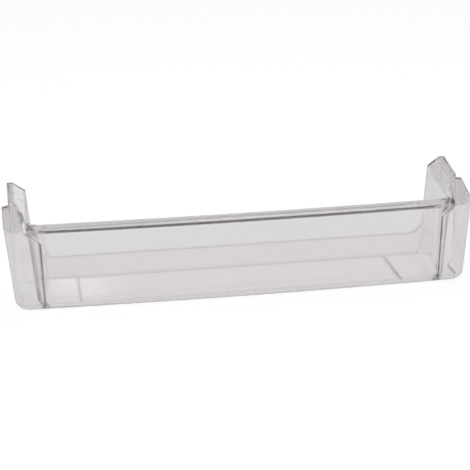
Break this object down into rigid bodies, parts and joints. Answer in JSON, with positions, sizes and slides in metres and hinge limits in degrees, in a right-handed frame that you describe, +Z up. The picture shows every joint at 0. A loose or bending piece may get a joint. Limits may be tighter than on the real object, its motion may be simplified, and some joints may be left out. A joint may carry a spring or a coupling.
{
  "type": "fridge door shelf",
  "caption": "Clear moulded refrigerator door shelf: an open tray with a bowed front panel, a sloping lip and hooded end pockets that drop over lugs on the door.",
  "frame": {"origin": "middle of the outer box, on the underside of the floor", "axes": "+X along the shelf, +Y from the front panel to the door, +Z up"},
  "size_m": [0.4696, 0.1049, 0.107],
  "materials": {
    "clear_plastic": "clear, glossy, faintly grey"
  },
  "bodies": {
    "root": {"door_shelf": "clear_plastic"}
  },
  "joints": []
}
